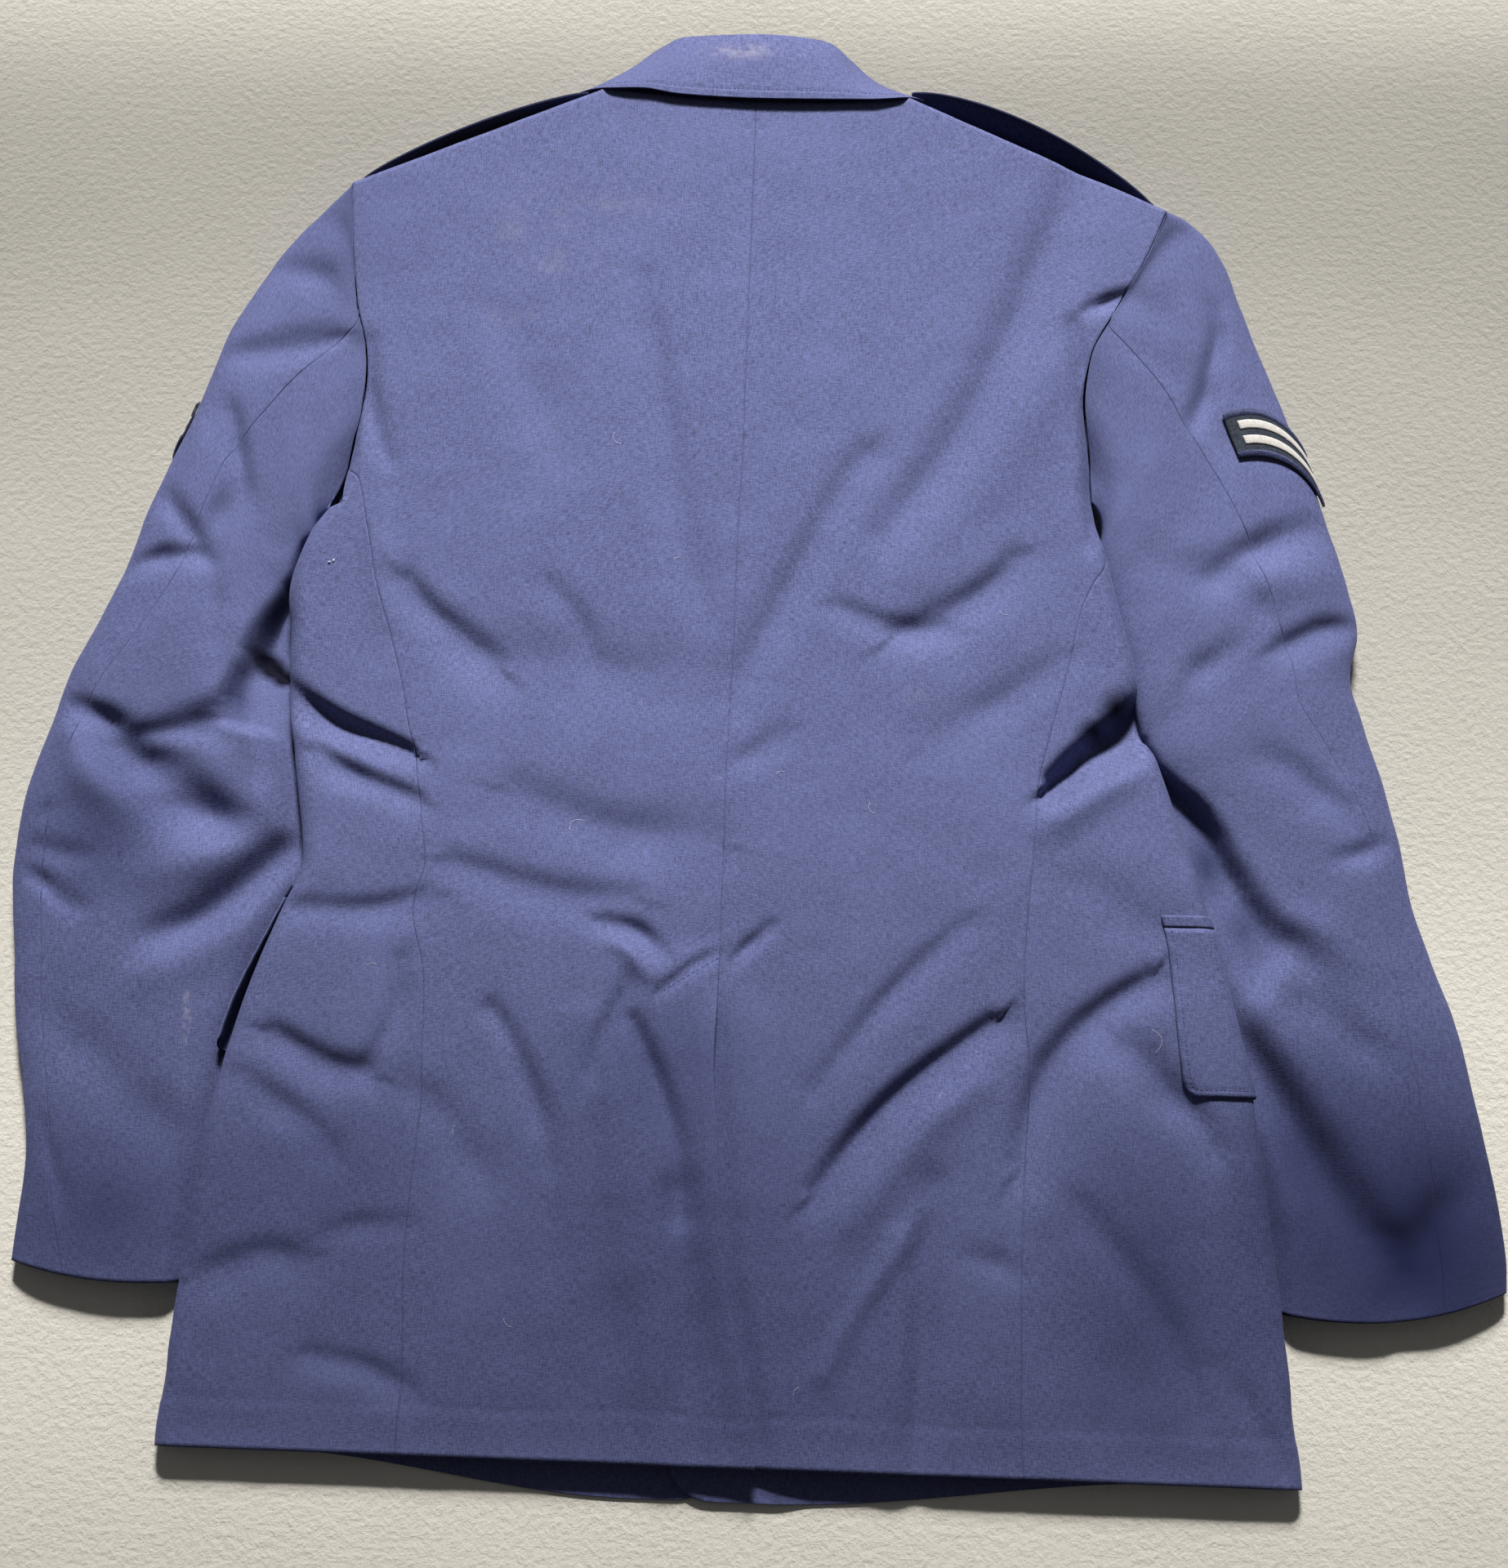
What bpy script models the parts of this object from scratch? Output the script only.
"""A man's single-breasted dress uniform coat, laid face down on a flat surface.

X runs across the coat, +Y towards the collar and +Z up. The surface is z = 0 and the origin is
under the middle of the coat. Every panel is a sheet of cloth: a grid of points worked out from
the section tables, with the wall grown inwards. Sizes in the tables are millimetres.
"""
import math

import bmesh
import bpy
from mathutils import Vector

MM = 0.001

# Cloth
WALL = 1.6              # outer cloth with its interlining
THIN = 1.2              # flaps, patches and lapel facings
SEAM = 0.4              # clear distance between two sewn edges
FOLD_SEAM = 1.1         # the same where the seam lies on a tight round
UNDER_SEAM = 1.3        # at the seam below, where the cloth starts to climb
ARMHOLE_SEAM = 1.8
LAY = 0.95              # clear distance under a piece that lies on another

# From the drawing of the body to the middle of the whole coat
ORIGIN_SHIFT = Vector((7.1, 0.2, 0.0)) * MM

# Body
HEM_ROW = -403.0        # row of the back hem
CORNER = 22.0           # radius of the lower front corners
SHOULDER_ROW = 310.0    # row of the shoulder points
SKEW = 9.0              # the coat lies turned a little, left side higher
SHOULDER_RISE = 68.0    # from the shoulder points up to the neck points
NECK_X = 90.0           # half of the back neck
NECK_DIP = 6.0
SHOULDER_X = 240.0
SHOULDER_BULGE = 5.0    # how far the padded shoulder edge rounds out past its seam
SHOULDER_SEAM = 2.2     # clear distance at the shoulder seam, where two walls meet at an angle
ARMPIT_ROW = {-1: 116.0, 1: 131.0}
ARMPIT_SLIT = 1.2       # half of the armhole where it closes at the armpit

# Centre front, seen underneath
FRONT_X = -35.0         # centre-front line, drawn to the left when the coat was laid down
FRONT_LAP = 13.0        # each front passes the line by this
BREAK_Y = 70.0          # where the lapels start to turn back
PLACKET_LIFT = 3.8      # the buttons hold the fronts off the surface

# Skirt lying over the sleeves
SKIRT_LIFT = 12.5
SLEEVE_CAP = 7.3        # highest that a sleeve comes under the skirt
CAP_SLOPE = 0.9
POCKET_LIFT = 3.4       # underneath, the flap holds the front off the surface

# Vent
VENT_TOP = -150.0
VENT_LAP = 38.0
VENT_RAISE = 2.4
VENT_SINK = 1.2         # the underlap lies a little lower than the panel it belongs to
FRONT_SAG = 18.0        # the fronts show this far below the back hem

BUTTON_RADIUS = 10.0
BUTTON_HEIGHT = 2.8
BUTTON_ROWS = (45.0, -40.0, -125.0)


def table(names, *rows):
    """Rows of numbers as named columns."""
    return {name: [row[i] for row in rows] for i, name in enumerate(names.split())}


# The side folds of the body, from hem to shoulder; radius is the roundness of the fold
SIDES = table(
    "row left right radius height",
    (-400, -317, 284, 7, 13.0),
    (-360, -312, 280, 9, 16.0),
    (-300, -305, 275, 10, 20.0),
    (-245, -298, 270, 11, 22.5),
    (-205, -290, 267, 11, 24.0),
    (-165, -279, 259, 11, 25.0),
    (-120, -263, 250, 11, 25.5),
    (-90, -251, 244, 11, 26.0),
    (-65, -254, 238, 11, 26.0),
    (-35, -258, 229, 12, 26.0),
    (0, -263, 220, 12, 26.0),
    (35, -264, 214, 12, 26.5),
    (65, -267, 207, 12, 27.0),
    (100, -257, 199, 12, 28.0),
    (120, -244, 193, 12, 28.5),
    (140, -236, 191, 11, 29.0),
    (170, -232, 191, 9, 30.0),
    (205, -230, 195, 4, 31.0),
    (240, -234, 209, 1, 32.0),
    (270, -237, 224, 1, 33.0),
    (310, -239, 240, 1, 34.0),
)

# Seams of the body: centre back as x, the side-back seams as distance from the side fold
SEAMS = table(
    "row centre left right under",
    (-400, -2, 127, 146, 60),
    (-350, -9, 123, 141, 60),
    (-300, -18, 117, 136, 60),
    (-235, -22, 114, 126, 60),
    (-195, -24, 106, 119, 60),
    (-155, -22, 94, 113, 60),
    (-100, -20, 68, 98, 60),
    (-35, -18, 68, 74, 58),
    (0, -16, 66, 56, 56),
    (35, -14, 58, 40, 52),
    (66, -13, 48, 25, 44),
    (100, -11, 31, 6, 30),
    (118, -10, 3, 1, 16),
    (131, -9, 1, -1, 8),
    (310, -1, 0, 0, 0),
)

# Largest folds of the back: a line from (x0, y0) to (x1, y1) that bends sideways, its half
# widths at the two ends and its height, negative for a trough
FOLDS = table(
    "x0 y0 x1 y1 bend wide0 wide1 height",
    (150, 290, -20, 55, 16, 20, 16, -4.5),
    (190, 300, 20, 40, 20, 24, 20, 2.5),
    (-75, 190, -28, 60, 8, 18, 14, -3.0),
    (-195, 80, -150, 35, 4, 12, 16, -4.0),
    (-165, -55, -60, -95, 8, 14, 22, -3.5),
    (-150, -35, -40, -50, 5, 18, 26, -2.5),
    (45, -240, 125, -165, -6, 15, 15, -6.0),
    (55, -215, 135, -140, -6, 14, 14, 3.0),
    (-62, -175, -38, -330, 6, 9, 15, -4.5),
    (-145, -165, -118, -230, 4, 12, 12, -4.0),
    (165, -235, 205, -150, 10, 18, 14, -5.0),
    (-255, -175, -205, -195, 5, 14, 16, -4.0),
    (92, -270, 95, -395, 0, 10, 9, 3.0),
    (217, 5, 160, -35, -4, 13, 8, -8.0),
    (-258, 15, -200, -12, -4, 11, 9, -6.0),
)

# Each sleeve laid flat, a row for each section: its inner and outer fold, the height of its
# upper layer, how far the section bows towards the cuff, and the width beside the inner fold
# that stays low
SLEEVES = {
    -1: table(
        "xi yi xo yo top bow shelf",
        (-240, 125, -240, 322, 31, 0, 0),
        (-251, 121, -254, 316, 30, 1, 0),
        (-256, 115, -270, 300, 29, 2, 0),
        (-260.5, 106, -290, 271, 28, 3, 0),
        (-265.5, 96, -311, 232, 27, 4, 2),
        (-269.5, 84, -325, 190, 26, 4, 4),
        (-271, 72, -338, 158, 26, 3, 8),
        (-270.5, 58, -351, 126, 26, 2, 13),
        (-269, 44, -361, 92, 26, 1, 19),
        (-267.5, 29, -375, 58, 26, 0, 23),
        (-263, 13, -389, 29, 25, 0, 12),
        (-254, 0, -397, 2, 24, 0, 0),
        (-246, -20, -405, -24, 23, 0, 0),
        (-239, -50, -411, -50, 22, 0, 0),
        (-237, -85, -414, -88, 20, 0, 0),
        (-246, -120, -411, -122, 19, 0, 0),
        (-260, -160, -407, -165, 18, 2, 0),
        (-271, -200, -400, -205, 17, 4, 0),
        (-271, -240, -396, -240, 16, 6, 0),
        (-273, -274, -398, -270, 15, 7, 0),
        (-275, -302, -400, -296, 14, 9, 0),
    ),
    1: table(
        "xi yi xo yo top bow shelf",
        (196, 122, 242, 314, 31, 0, 0),
        (199, 118, 259, 308, 30, 1, 0),
        (200, 110, 271, 294, 29, 2, 0),
        (202, 99, 279, 268, 28, 3, 0),
        (204, 85, 288, 237, 27, 4, 0),
        (208, 67, 301, 199, 26, 4, 0),
        (212, 47, 315, 158, 26, 4, 0),
        (216, 28, 327, 116, 26, 3, 0),
        (219, 8, 337, 76, 26, 3, 0),
        (222, -10, 341, 52, 25, 2, 0),
        (226, -26, 335, 24, 25, 2, 1),
        (231, -42, 341, -4, 24, 1, 3),
        (235, -58, 350, -38, 23, 0, 8),
        (239, -76, 357, -72, 22, 0, 14),
        (241, -100, 361, -102, 21, 0, 20),
        (242, -130, 369, -132, 19, 0, 14),
        (244, -170, 382, -173, 18, 3, 0),
        (247, -215, 391, -222, 17, 6, 0),
        (251, -260, 398, -271, 16, 9, 0),
        (255, -293, 400, -299, 15, 11, 0),
        (259, -319, 399, -313, 14, 13, 0),
    ),
}
for sleeve_table in SLEEVES.values():
    sleeve_table["station"] = list(range(len(sleeve_table["xi"])))
SHELF_HEIGHT = 5.5      # height of the cloth that lies pushed in beside the inner fold
SHELF_SLOPE = 2.4
HINDARM = {                 # where the elbow seam runs across the sleeve, 0 inner to 1 outer
    -1: table(
        "station across",
        (0, 0.57), (1, 0.52), (2, 0.49), (3, 0.50), (4, 0.54), (5, 0.62), (7, 0.65), (9, 0.76),
        (11, 0.87), (13, 0.90), (18, 0.88), (20, 0.76),
    ),
    1: table(
        "station across",
        (0, 0.53), (1, 0.49), (2, 0.47), (3, 0.48), (4, 0.52), (6, 0.60), (9, 0.65), (11, 0.76),
        (13, 0.86), (16, 0.79), (20, 0.74),
    ),
}
FOREARM_SEAM = 0.93         # the front seam, round the ring from the inner fold

# Largest folds of the sleeves, as the folds of the back
SLEEVE_FOLDS = {
    -1: table(
        "x0 y0 x1 y1 bend wide0 wide1 height",
        (-284, 18, -345, -8, 4, 9, 7, -16.0),
        (-380, 12, -300, -52, 6, 12, 15, -9.0),
        (-372, 45, -330, 8, 4, 16, 14, 3.0),
        (-330, -118, -262, -66, 3, 12, 12, -8.0),
        (-330, -70, -270, -30, 4, 14, 12, 4.0),
        (-340, 100, -312, 92, 0, 12, 14, -4.0),
        (-290, 250, -262, 226, 0, 12, 12, -3.5),
    ),
    1: table(
        "x0 y0 x1 y1 bend wide0 wide1 height",
        (250, -78, 310, -146, 4, 10, 9, -9.0),
        (258, -100, 345, -284, -10, 10, 12, -8.0),
        (300, -150, 372, -268, -6, 14, 14, 3.0),
        (285, 110, 325, 118, 3, 13, 13, -4.0),
        (275, 60, 330, 55, 4, 18, 14, -3.5),
        (255, 245, 268, 285, 0, 10, 10, -4.0),
    ),
}

# Collar: the roll line at the top of the collar and the outer edge of its fall, from the left
# front round the back neck to the right front
COLLAR = table(
    "roll_x roll_y roll_z edge_x edge_y edge_z",
    (-80, 300, 2.9, -122, 300, 0.5),
    (-88, 345, 2.9, -126, 345, 0.5),
    (-91, 376, 3.0, -119, 384, 3.0),
    (-92, 390, 9.0, -110, 391, 13),
    (-87, 397, 15, -100, 389.5, 27),
    (-73, 406, 21, -87, 386, 37.5),
    (-58, 415, 25, -67, 383.5, 39),
    (-42, 420.5, 28, -46, 380, 39),
    (0, 421, 30, 0, 377, 39),
    (40, 417.5, 28, 44, 376, 39),
    (56, 407, 24, 64, 376, 39),
    (70, 395, 19, 84, 378, 37.5),
    (81, 387, 13, 97, 382, 27),
    (86, 381, 8, 107, 383, 13),
    (86, 369, 3.0, 115, 376.5, 3.0),
    (83, 340, 2.9, 121, 340, 0.5),
    (75, 297, 2.9, 117, 297, 0.5),
)
STAND = table(
    "seam_x seam_y seam_z",
    (-88, 383, 27),
    (-80, 381, 33),
    (-62, 378, 33.5),
    (-44, 376, 33.5),
    (0, 373.5, 33.5),
    (42, 372.5, 33.5),
    (60, 373, 33.5),
    (76, 374.5, 33),
    (84, 376, 27),
)
STAND_FIRST = 4             # the collar row where the stand starts

STRAP_CLEAR = 3.3
STRAPS = table(
    "side inner outer lean low high",
    (-1, -113, -232, 1.4, 4.5, 35.0),
    (1, 112, 232, 11.5, 4.5, 35.0),
)
STRAP_CUT = 14.0        # the inner end clears the collar, which passes below it
STRAP_DIP = 15.0        # how far the upper edge drops towards both ends

# Pocket flaps: rows from the welt to the lower edge, and reach round the side fold in mm,
# negative on the back and positive underneath
FLAPS = {-1: (-112.0, -198.0, 3.0, 106.0), 1: (-111.0, -202.0, -37.0, 106.0)}
FLAP_ROUND = 9.0
WELT_WIDTH = 6.0

# Rank patches: station along the sleeve of the chevron's point, how far each leg rises, the
# width of the backing, where the legs end round the sleeve, and the lift under the backing
PATCHES = {-1: (6.3, 1.0, 26.0, 0.455, 0.70, 0.1), 1: (6.35, 1.65, 29.0, 0.297, 0.655, LAY)}
PATCH_REACH = 56.0      # how far the patch reaches in underneath
PATCH_LIFT = 4.9
BAR_GAP = 0.6
BAR_THICK = 0.9
BAR_WIDTH = 5.4
BARS = (-5.1, 4.4)          # middle of each bar from the middle of the backing


def smooth(t):
    """A soft step from 0 to 1."""
    t = min(1.0, max(0.0, t))
    return t * t * (3.0 - 2.0 * t)


def value(tab, name, key, at):
    """The column NAME at AT of the column KEY, on a smooth curve that doesn't overshoot."""
    xs, ys = tab[key], tab[name]
    if at <= xs[0]:
        return ys[0]
    if at >= xs[-1]:
        return ys[-1]
    i = max(k for k in range(len(xs) - 1) if xs[k] <= at)

    def slope(k):
        if k <= 0 or k >= len(xs) - 1:
            return 0.0 if k <= 0 else (ys[-1] - ys[-2]) / (xs[-1] - xs[-2])
        before = (ys[k] - ys[k - 1]) / (xs[k] - xs[k - 1])
        after = (ys[k + 1] - ys[k]) / (xs[k + 1] - xs[k])
        return 0.0 if before * after <= 0 else 2 * before * after / (before + after)

    step = xs[i + 1] - xs[i]
    t = (at - xs[i]) / step
    a, b = ys[i], ys[i + 1]
    ma, mb = slope(i) * step, slope(i + 1) * step
    return (a * (2 * t**3 - 3 * t**2 + 1) + ma * (t**3 - 2 * t**2 + t)
            + b * (3 * t**2 - 2 * t**3) + mb * (t**3 - t**2))


def edge_x(side, row):
    return value(SIDES, "left" if side < 0 else "right", "row", row)


def place_y(x, row):
    """Real y of a point of a row: the rows turn with the coat and rise to the neck."""
    rise = SHOULDER_RISE * smooth((row - 20.0) / 330.0) / smooth(290.0 / 330.0)
    across = min(1.0, (SHOULDER_X - abs(x)) / (SHOULDER_X - NECK_X))
    dip = NECK_DIP / SHOULDER_RISE * max(0.0, 1.0 - (x / NECK_X) ** 2)
    return row - SKEW * x / SHOULDER_X + rise * (max(0.0, across) - dip)


def folds(tab, x, y):
    """Sum of the folds of a table at a place, each a soft trough or ridge along its line."""
    total = 0.0
    for i in range(len(tab["x0"])):
        x0, y0 = tab["x0"][i], tab["y0"][i]
        dx, dy = tab["x1"][i] - x0, tab["y1"][i] - y0
        length = math.hypot(dx, dy)
        along = ((x - x0) * dx + (y - y0) * dy) / length**2
        if along < -0.4 or along > 1.4:
            continue
        t = min(1.0, max(0.0, along))
        aside = ((x - x0) * -dy + (y - y0) * dx) / length - tab["bend"][i] * 4 * t * (1 - t)
        wide = tab["wide0"][i] + (tab["wide1"][i] - tab["wide0"][i]) * t
        over = max(-along, along - 1.0, 0.0) * length
        reach = math.hypot(aside, over) / wide
        ends = 0.25 + 0.75 * math.sin(math.pi * (0.12 + 0.76 * t))
        total += tab["height"][i] * ends * math.exp(-reach * reach)
    return total


def vent_raise(x, row):
    """How far the left back panel is lifted by the underlap below it."""
    inside = value(SEAMS, "centre", "row", row) - x
    return VENT_RAISE * smooth((VENT_LAP + 30.0 - inside) / 26.0) * smooth((VENT_TOP + 26 - row) / 20)


def break_x(side, y):
    """The line where a lapel turns back, from the first button to the neck point."""
    t = smooth((y - BREAK_Y) / 330.0) * 0.4 + 0.6 * min(1.0, max(0.0, (y - BREAK_Y) / 310.0))
    return FRONT_X + side * 4.0 + (side * (NECK_X + 5.0) - FRONT_X) * t


def lapel_width(y):
    """Width of the lapel and the collar leaf under the front at a height."""
    if y < BREAK_Y:
        return 0.0
    return 84.0 * smooth((y - BREAK_Y) / 200.0) if y < 290.0 else 52.0 + 32.0 * smooth((330.0 - y) / 40.0)


def top_z(side, x, y, row):
    """Height of the back's outer face."""
    z = value(SIDES, "height", "row", row) + folds(FOLDS, x, y)
    if side < 0:
        z += vent_raise(x, row)
    else:
        z -= VENT_SINK * smooth((value(SEAMS, "centre", "row", row) - x - 1.0) / 6.0)
    return z


def bottom_z(side, x, y, row):
    """Height of the fronts' outer face, which rests on the surface or on a sleeve."""
    inward = side * (edge_x(side, row) - x)
    start = 50.0 if side < 0 else -62.0
    lift = SKIRT_LIFT * smooth((start - row) / 26.0) * smooth((row + 372.0) / 24.0)
    z = lift * smooth((54.0 - inward) / 22.0)
    past = abs(x - break_x(side, y)) if y > BREAK_Y - 20 else 999.0
    z = max(z, 4.6 * smooth((lapel_width(y) + 30.0 - past) / 16.0) * smooth((y - BREAK_Y + 15) / 20.0))
    placket = smooth((40.0 - abs(x - FRONT_X)) / 22.0)
    z = max(z, PLACKET_LIFT * placket * smooth((row + 185.0) / 30.0) * smooth((110.0 - row) / 30.0))
    flap_top, flap_low, _, flap_reach = FLAPS[side]
    pocket = smooth((flap_reach + 60.0 - inward) / 30.0) * smooth((flap_top + 56.0 - row) / 26.0)
    z = max(z, POCKET_LIFT * pocket * smooth((row - flap_low + 46.0) / 26.0))
    if side > 0:
        z += 2.2 * smooth((FRONT_X + 64.0 - x) / 22.0)
    return z


def wrap(side, row, p):
    """A point of the body's outer face; P runs round the side fold, negative on the back."""
    radius = value(SIDES, "radius", "row", row)
    turn = math.pi / 2 * min(1.0, max(-1.0, -p / radius))
    inward = abs(p) if abs(p) > radius else radius * (1.0 - math.cos(turn))
    x = edge_x(side, row) - side * inward
    y = place_y(x, row)
    low = bottom_z(side, x, y, row)
    high = top_z(side, x, y, row)
    middle = 0.5 * (low + high)
    z = middle + (high - middle if turn > 0 else middle - low) * math.sin(turn)
    return Vector((x, y, z)) * MM


def offset(point, out, a, b, side):
    """The point at (a, b) of a surface moved out along its normal by OUT millimetres."""
    here = point(side, a, b)
    da = point(side, a + 0.02, b) - point(side, a - 0.02, b)
    db = point(side, a, b + 0.02) - point(side, a, b - 0.02)
    normal = da.cross(db).normalized()
    return here + normal * out * MM


def materials():
    made = {}
    for name, colour, rough, metal in (
        ("blue_cloth", (0.060, 0.066, 0.150, 1), 0.92, 0.0),
        ("navy_cloth", (0.014, 0.016, 0.034, 1), 0.90, 0.0),
        ("white_bar", (0.62, 0.60, 0.57, 1), 0.88, 0.0),
        ("silver_button", (0.55, 0.55, 0.56, 1), 0.38, 1.0),
    ):
        mat = bpy.data.materials.new(name)
        mat.use_nodes = True
        shader = mat.node_tree.nodes["Principled BSDF"]
        shader.inputs["Base Color"].default_value = colour
        shader.inputs["Roughness"].default_value = rough
        shader.inputs["Metallic"].default_value = metal
        made[name] = mat
    return made


def sheet(name, point, columns, rows, material, facing=1, wall=WALL):
    """A panel: POINT(row, column) over two lists, facing up or down at its first column."""
    bm = bmesh.new()
    grid = [[bm.verts.new(point(r, c)) for c in columns] for r in rows]
    for r in range(len(rows) - 1):
        for c in range(len(columns) - 1):
            bm.faces.new((grid[r][c], grid[r][c + 1], grid[r + 1][c + 1], grid[r + 1][c]))
    bm.normal_update()
    start = grid[len(rows) // 2][0]
    first = sum(f.normal.z for f in start.link_faces)
    if first * facing < 0:
        bmesh.ops.reverse_faces(bm, faces=bm.faces)
    mesh = bpy.data.meshes.new(name)
    bm.to_mesh(mesh)
    bm.free()
    mesh.shade_smooth()
    mesh.materials.append(material)
    made = bpy.data.objects.new(name, mesh)
    COAT.objects.link(made)
    solid = made.modifiers.new("wall", "SOLIDIFY")
    solid.thickness = wall * MM
    solid.offset = -1.0
    return made


def spread(first, last, count):
    return [first + (last - first) * i / count for i in range(count + 1)]


def body_rows(side, first, last):
    """Rows of the body between two limits, shared by panels so that seams match."""
    mid = [0.5 * (a + b) for a, b in zip(SIDES["row"][:-1], SIDES["row"][1:]) if b - a > 36]
    every = set(SIDES["row"]) | set(mid)
    every = [r for r in every if abs(r - ARMPIT_ROW[side]) > 10.0] + [ARMPIT_ROW[side]]
    return [first] + sorted(r for r in every if first + 4 < r < last - 4) + [last]


def armhole_p(side, row, under):
    """Where the armhole seam lies round the side fold, on the back or underneath."""
    radius = value(SIDES, "radius", "row", row)
    share = smooth((row - ARMPIT_ROW[side]) / (212.0 - ARMPIT_ROW[side]))
    return max(radius * share, ARMPIT_SLIT) * (1.0 if under else -1.0)


def seam_back(side, row):
    """Side edge of a back panel: the side-back seam, and the armhole above it."""
    if row > ARMPIT_ROW[side]:
        return armhole_p(side, row, False) - SEAM / 2
    return -value(SEAMS, "left" if side < 0 else "right", "row", row) - SEAM / 2


def seam_under(side, row):
    """Side edge of a front panel, underneath."""
    if row > ARMPIT_ROW[side]:
        return armhole_p(side, row, True) + SEAM / 2
    return value(SEAMS, "under", "row", row) + SEAM / 2


def seam_gap(side, row, p):
    """Clear distance at a seam, wider where both walls turn round the side fold."""
    radius = value(SIDES, "radius", "row", row)
    return SEAM + (FOLD_SEAM - SEAM) * smooth((radius + 14.0 - abs(p)) / 10.0)


def back_panel(side, cloth):
    columns = 10 if side < 0 else 12

    def point(row, c):
        centre = value(SEAMS, "centre", "row", row) + side * SEAM / 2
        if side > 0:
            centre -= VENT_LAP * smooth((VENT_TOP + 8.0 - row) / 18.0)
        end = -abs(edge_x(side, row) - centre)
        start = seam_back(side, row)
        return wrap(side, row, start + (end - start) * c)

    name = "back_left" if side < 0 else "back_right"
    return sheet(name, point, spread(1.0, 0.0, columns), body_rows(side, HEM_ROW, SHOULDER_ROW), cloth)


def fold_stops(side, row, start, end):
    """Places round the side fold from START to END, close together on the round itself."""
    radius = value(SIDES, "radius", "row", row)
    first, last = max(start, -radius), min(end, radius)
    if first >= last:
        return spread(start, end, 11)
    before = spread(start, first, 2)[:-1]
    after = spread(last, end, 3)[1:]
    return before + spread(first, last, 6) + after


def side_panel(side, cloth):
    def point(row, c):
        start = seam_back(side, row)
        end = seam_under(side, row)
        start += seam_gap(side, row, start)
        end -= max(UNDER_SEAM, seam_gap(side, row, end))
        return wrap(side, row, fold_stops(side, row, start, end)[c])

    count = len(fold_stops(side, HEM_ROW, -1.0, 1.0))
    name = "side_left" if side < 0 else "side_right"
    return sheet(name, point, list(range(count)), body_rows(side, HEM_ROW, ARMPIT_ROW[side]), cloth)


def front_edge_x(side, row, y):
    """Free edge of a front: the rounded corner at the hem, the closing edge, the break line."""
    if y > BREAK_Y:
        x = break_x(side, y)
        lap = smooth((BREAK_Y + 40 - y) / 40.0)
        return x - side * (FRONT_LAP + 4.0) * lap
    x = FRONT_X - side * FRONT_LAP
    into = (HEM_ROW + CORNER - row) / CORNER
    if into > 0:
        x += side * CORNER * (1.0 - math.sqrt(max(0.0, 1.0 - into * into)))
    return x


def front_panel(side, cloth):
    """From the hem to the shoulder seam, with the shoulder edge rounded up to the back."""
    top = [SHOULDER_ROW + 10.0 * k for k in range(1, 6)]
    corner = [HEM_ROW + CORNER * k for k in (0.0, 0.12, 0.35, 0.65)]
    rows = corner + body_rows(side, HEM_ROW + CORNER, SHOULDER_ROW) + top

    def point(row, c):
        flat_row = min(row, SHOULDER_ROW)
        start = seam_under(side, flat_row)
        edge = edge_x(side, flat_row)
        y = place_y(side * NECK_X if row > 200 else FRONT_X, flat_row)
        end = abs(edge - front_edge_x(side, flat_row, y))
        p = start + (end - start) * c
        low = wrap(side, flat_row, p)
        if row <= SHOULDER_ROW:
            if row < HEM_ROW + 100.0:
                low.y -= FRONT_SAG * MM * smooth((HEM_ROW + 100.0 - row) / 100.0) * smooth(c * 1.15)
            return low
        high = wrap(side, SHOULDER_ROW, -p)
        turn = math.pi * (row - SHOULDER_ROW) / 50.0
        middle = 0.5 * (low.z + high.z)
        z = middle - (middle - low.z) * math.cos(turn)
        y = low.y + (SHOULDER_BULGE * math.sin(turn) + SHOULDER_SEAM * smooth(turn / math.pi)) * MM
        return Vector((low.x, y, z))

    name = "front_left" if side < 0 else "front_right"
    return sheet(name, point, spread(0.0, 1.0, 8), rows, cloth, facing=-1)


def lapel(side, cloth):
    """The turned-back lapel, under the front, from the first button to the gorge."""
    low_y, high_y = BREAK_Y + 8.0, 293.0

    def point(y, c):
        inner = break_x(side, y) + side * 0.5
        across = (6.0 + lapel_width(y)) * c
        x = inner + side * across
        return Vector((x, y + 6.0 * c * (y - low_y) / 200.0, 2.8 - 1.0 * smooth(across / 14.0) + 0.2)) * MM

    name = "lapel_left" if side < 0 else "lapel_right"
    return sheet(name, point, [0, 0.1, 0.22, 0.6, 1.0], spread(low_y, high_y, 9), cloth, facing=1)


def collar(cloth):
    rows = list(range(len(COLLAR["roll_x"])))

    def ends(i):
        roll = Vector([COLLAR["roll_" + a][i] for a in "xyz"])
        edge = Vector([COLLAR["edge_" + a][i] for a in "xyz"])
        return roll, edge

    def fall_point(i, c):
        roll, edge = ends(i)
        puff = 2.2 * math.sin(math.pi * min(c, 1.0)) * smooth((edge.z - 10.0) / 20.0)
        return (edge.lerp(roll, c) + Vector((0, 0, puff))) * MM

    sheet("collar_fall", fall_point, [0.0, 0.25, 0.5, 0.75, 0.92, 1.0], rows, cloth)

    def stand_point(k, c):
        roll, edge = ends(STAND_FIRST + k)
        seam = Vector([STAND["seam_" + a][k] for a in "xyz"])
        inward = (Vector((0, 385, 20)) - roll).normalized()
        top = roll + inward * 2.2 + Vector((0, 0, -3.2))
        return seam.lerp(top, c) * MM

    sheet("collar_stand", stand_point, [0.0, 0.33, 0.67, 1.0], list(range(9)), cloth)


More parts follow.
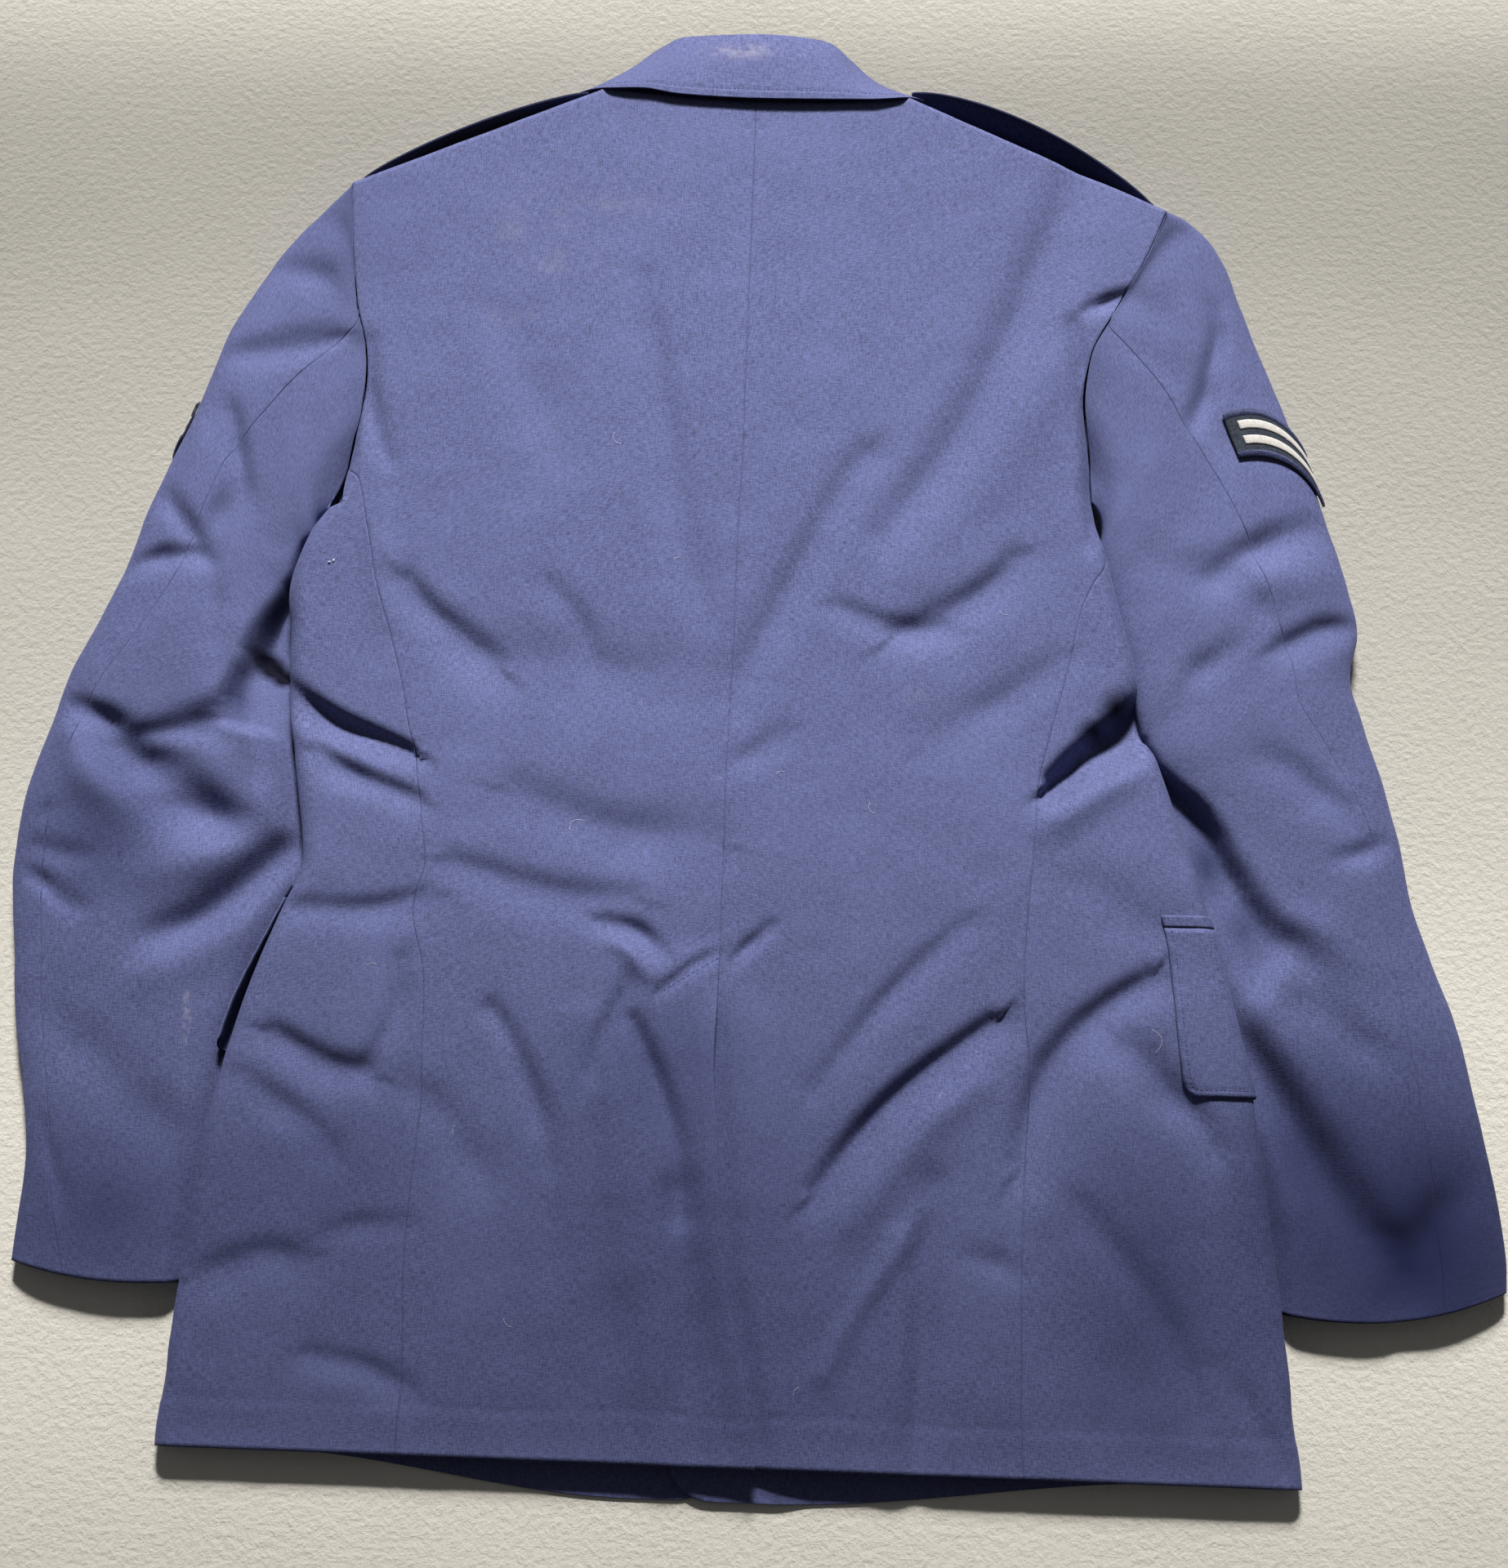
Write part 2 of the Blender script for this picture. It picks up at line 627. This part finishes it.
def skirt_cap(side, x, y):
    """The height that a sleeve may reach beside or under the skirt of the body."""
    row = y + SKEW * side * 1.1
    start = 44.0 if side < 0 else -58.0
    if row > start:
        return 99.0
    outside = side * (x - edge_x(side, row))
    free = 30.0 * smooth((row - start + 22.0) / 22.0)
    return SLEEVE_CAP + CAP_SLOPE * max(0.0, outside) + free


def armhole_loop(side, q):
    """The armhole seam: round from the armpit over the back to the shoulder and under."""
    under = q > 0.5
    along = 2.0 * (1.0 - q if under else q)
    along = 0.5 - 0.5 * math.cos(math.pi * along)
    row = ARMPIT_ROW[side] + (SHOULDER_ROW - ARMPIT_ROW[side]) * min(1.0, along / 0.95)
    point = wrap(side, row, armhole_p(side, row, under))
    if along > 0.95:
        other = wrap(side, row, armhole_p(side, row, not under))
        turn = math.pi / 2 * (along - 0.95) / 0.05
        middle = 0.5 * (point.z + other.z)
        point.z = middle + (point.z - middle) * math.cos(turn)
        point.y += SHOULDER_BULGE * math.sin(turn) * MM
    point.x += side * ARMHOLE_SEAM * MM
    return point


def sleeve_point(side, station, q):
    """A point of a sleeve's outer face: Q runs from the inner fold over the top, 0.5 at the
    outer fold, and back underneath."""
    q = q % 1.0
    xi, yi, xo, yo, top, bow, shelf = (value(SLEEVES[side], n, "station", station) for n in
                                       ("xi", "yi", "xo", "yo", "top", "bow", "shelf"))
    a = 2 * math.pi * q
    across = 0.5 - 0.5 * math.copysign(abs(math.cos(a)) ** 0.8, math.cos(a))
    dx, dy = xo - xi, yo - yi
    length = math.hypot(dx, dy)
    sag = bow * 4 * across * (1 - across)
    x = xi + dx * across + side * dy / length * sag
    y = yi + dy * across - side * dx / length * sag
    middle = 0.42 * top
    pushed = smooth(shelf / 6.0) * (1.0 - smooth(across / 0.4))
    middle += (0.6 * SHELF_HEIGHT - middle) * pushed
    if q <= 0.5:
        z = middle + (top - middle) * math.sin(a) ** 0.7
        body = math.sin(a) ** 0.5
        z += folds(SLEEVE_FOLDS[side], x, y) * body
        if shelf > 0.0:
            z = min(z, SHELF_HEIGHT + SHELF_SLOPE * max(0.0, across * length - shelf))
    else:
        z = max(0.0, middle - middle * 1.08 * abs(math.sin(a)) ** 0.45)
        z = max(z, patch_lift(side, station, across * length))
    z = min(z, skirt_cap(side, x, y))
    point = Vector((x, y, z)) * MM
    start = smooth(station / 3.0)
    if start < 1.0:
        point = armhole_loop(side, q).lerp(point, start)
    return point


def patch_lift(side, station, outward):
    """The underside of a sleeve clears the surface by its rank patch."""
    middle = PATCHES[side][0] - 0.5
    length = math.hypot(SLEEVES[side]["xo"][6] - SLEEVES[side]["xi"][6],
                        SLEEVES[side]["yo"][6] - SLEEVES[side]["yi"][6])
    reach = smooth((outward - length + PATCH_REACH + 16.0) / 12.0)
    return PATCH_LIFT * smooth((2.4 - abs(station - middle)) / 0.8) * reach


def hindarm_q(side, station):
    """The elbow seam's place round the ring."""
    across = value(HINDARM[side], "across", "station", station)
    return math.acos(math.copysign(abs(1 - 2 * across) ** 1.25, 1 - 2 * across)) / (2 * math.pi)


def sleeve(side, cloth):
    stations = [0.0, 0.8, 1.6, 2.4, 3.2] + spread(4.0, 8.0, 5) + spread(8.6, 12.2, 6) + spread(13.0, 20.0, 8)
    elbow_gap, front_gap = 0.0012, 0.0042

    def upper(station, c):
        first = hindarm_q(side, station) + elbow_gap
        return sleeve_point(side, station, first + (FOREARM_SEAM - front_gap - first) * c)

    def under(station, c):
        last = hindarm_q(side, station) - elbow_gap
        first = FOREARM_SEAM - 1.0 + front_gap
        return sleeve_point(side, station, last + (first - last) * c)

    side_name = "left" if side < 0 else "right"
    sheet("sleeve_%s_top" % side_name, upper, spread(0, 1, 12), stations, cloth)
    sheet("sleeve_%s_under" % side_name, under, spread(0, 1, 9), stations, cloth)


def strap(i, cloth):
    side, inner, outer = STRAPS["side"][i], STRAPS["inner"][i], STRAPS["outer"][i]
    lean, low, high = STRAPS["lean"][i], STRAPS["low"][i], STRAPS["high"][i]

    def point(t, c):
        x = inner + (outer - inner) * t
        y = place_y(x, SHOULDER_ROW) + SHOULDER_BULGE + STRAP_CLEAR
        stand = lean * math.sin(math.pi * min(1.0, t * 0.9 + 0.12)) ** 0.8
        y += stand * c**1.4
        foot = low + STRAP_CUT * (1.0 - smooth(t / 0.1))
        crown = high - STRAP_DIP * (1.0 - math.sin(math.pi * (0.03 + 0.94 * t)) ** 0.45)
        return Vector((x, y, foot + (crown - foot) * c)) * MM

    name = "shoulder_strap_left" if side < 0 else "shoulder_strap_right"
    made = sheet(name, point, spread(0, 1, 4), spread(0, 1, 9), cloth)
    if made.data.polygons[0].normal.y < 0:
        made.data.flip_normals()


def button(name, place, metal):
    """A domed metal button under the closing edge, its flat back at PLACE and its face down."""
    bm = bmesh.new()
    ring_heights = ((1.0, 0.0), (1.0, 0.35), (0.82, 0.7), (0.5, 0.93))
    rings = []
    for share, rise in ring_heights:
        ring = []
        for k in range(16):
            a = 2 * math.pi * k / 16
            reach = BUTTON_RADIUS * share * MM
            ring.append(bm.verts.new((reach * math.cos(a), reach * math.sin(a), BUTTON_HEIGHT * rise * MM)))
        rings.append(ring)
    for below, above in zip(rings[:-1], rings[1:]):
        for k in range(16):
            j = (k + 1) % 16
            bm.faces.new((below[k], below[j], above[j], above[k]))
    bm.faces.new(list(reversed(rings[0])))
    bm.faces.new(rings[-1])
    mesh = bpy.data.meshes.new(name)
    bm.to_mesh(mesh)
    bm.free()
    mesh.shade_smooth()
    mesh.set_sharp_from_angle(angle=math.radians(40))
    mesh.materials.append(metal)
    made = bpy.data.objects.new(name, mesh)
    made.location = place
    made.rotation_euler = (math.pi, 0, 0)
    COAT.objects.link(made)


def flap(side, cloth):
    """A pocket flap and its welt, laid on the side body and round to the front."""
    top, low, back, reach = FLAPS[side]

    def stops(row, short=0.0):
        seam = value(SEAMS, "under", "row", row)
        return fold_stops(side, row, back + short, seam) + spread(seam, reach - short, 2)[1:]

    def on_body(row, c, short=0.0):
        return offset(wrap, -side * (LAY + THIN), row, stops(row, short)[c], side)

    def point(row, c):
        into = max(0.0, low + FLAP_ROUND - row) / FLAP_ROUND
        return on_body(row, c, FLAP_ROUND * (1 - math.sqrt(max(0.0, 1 - into * into))))

    name = "left" if side < 0 else "right"
    columns = list(range(len(stops(low))))
    rows = [low, low + 0.4 * FLAP_ROUND, low + FLAP_ROUND] + spread(low + 28, top, 3)
    sheet("pocket_flap_" + name, point, columns, rows, cloth, wall=THIN)
    sheet("pocket_welt_" + name, on_body, columns, [top + 0.6, top + 0.6 + WELT_WIDTH], cloth, wall=THIN)


def patch(side, cloth, white):
    station, rise, width, first, last, lay = PATCHES[side]
    name = "left" if side < 0 else "right"
    per_station = 36.0      # sleeve length between two stations here

    def strip(out, shift, half, margin):
        def point(across, c):
            q = first + margin + (last - first - 2 * margin) * across
            leg = abs(2 * (q - first) / (last - first) - 1.0)
            middle = station - rise * leg + shift / per_station
            return offset(sleeve_point, side * out, middle + half * (2 * c - 1) / per_station, q, side)
        return point

    legs = spread(0, 1, 14)
    sheet("rank_patch_" + name, strip(lay + THIN, 0.0, width / 2, 0.0), [0.0, 0.5, 1.0], legs, cloth, wall=THIN)
    for k, shift in enumerate(BARS):
        over = lay + THIN + BAR_GAP + BAR_THICK
        bar = strip(over, shift, BAR_WIDTH / 2, 0.012)
        sheet("rank_bar_%s_%d" % (name, k + 1), bar, [0.0, 1.0], legs, white, wall=BAR_THICK)


for old in list(bpy.data.objects):
    bpy.data.objects.remove(old)
COAT = bpy.data.collections.new("dress_uniform_coat")
bpy.context.scene.collection.children.link(COAT)
FINISH = materials()
blue, navy = FINISH["blue_cloth"], FINISH["navy_cloth"]

for body_side in (-1, 1):
    back_panel(body_side, blue)
    side_panel(body_side, blue)
    front_panel(body_side, blue)
    lapel(body_side, blue)
    sleeve(body_side, blue)
    flap(body_side, blue)
    patch(body_side, navy, FINISH["white_bar"])
collar(blue)
for strap_row in range(2):
    strap(strap_row, blue)
for number, button_row in enumerate(BUTTON_ROWS):
    spot = Vector((FRONT_X, place_y(FRONT_X, button_row), PLACKET_LIFT - 0.5)) * MM
    button("front_button_%d" % (number + 1), spot, FINISH["silver_button"])
for piece in COAT.objects:
    piece.location += ORIGIN_SHIFT
